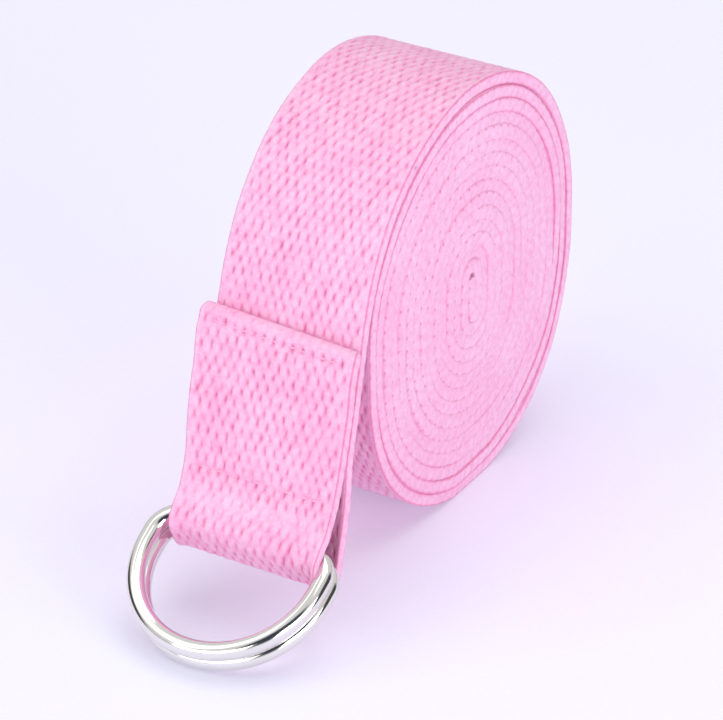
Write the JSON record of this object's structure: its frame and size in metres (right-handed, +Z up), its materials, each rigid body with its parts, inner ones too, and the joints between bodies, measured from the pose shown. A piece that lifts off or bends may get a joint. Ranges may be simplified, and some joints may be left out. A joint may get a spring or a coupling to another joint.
{
  "type": "stretching strap",
  "caption": "Woven cotton exercise strap rolled up on its edge, its outer end folded and sewn round the bars of stacked D-rings.",
  "frame": {"origin": "on the floor plane, below the middle of the whole part's box", "axes": "+X across the webbing along the roll's axis, +Y away from the rings towards the back of the roll, +Z up"},
  "size_m": [0.0482, 0.1496, 0.1031],
  "materials": {
    "webbing": "matte plain-woven cotton",
    "ring_metal": "polished nickel plate",
    "thread": "spun polyester, matte"
  },
  "bodies": {
    "roll": {"webbing_roll": "webbing"},
    "sewn_end": {"webbing_end": "webbing", "hem_needle_thread": "thread", "hem_bobbin_thread": "thread", "ring_needle_thread": "thread", "ring_bobbin_thread": "thread"},
    "upper_ring": {"upper_d_ring": "ring_metal"},
    "lower_ring": {"lower_d_ring": "ring_metal"}
  },
  "joints": [
    {"name": "end_lift", "type": "hinge", "parent": "roll", "child": "sewn_end", "pos_m": [0, -0.01507, 0.0762], "axis": [-1, 0, 0], "range_deg": [0, 90]},
    {"name": "upper_ring_swing", "type": "hinge", "parent": "sewn_end", "child": "upper_ring", "pos_m": [0, -0.04609, 0.02074], "axis": [-1, 0, 0], "range_deg": [0, 115]},
    {"name": "lower_ring_swing", "type": "hinge", "parent": "sewn_end", "child": "lower_ring", "pos_m": [0, -0.04396, 0.01689], "axis": [-1, 0, 0], "range_deg": [-135, 0]}
  ]
}
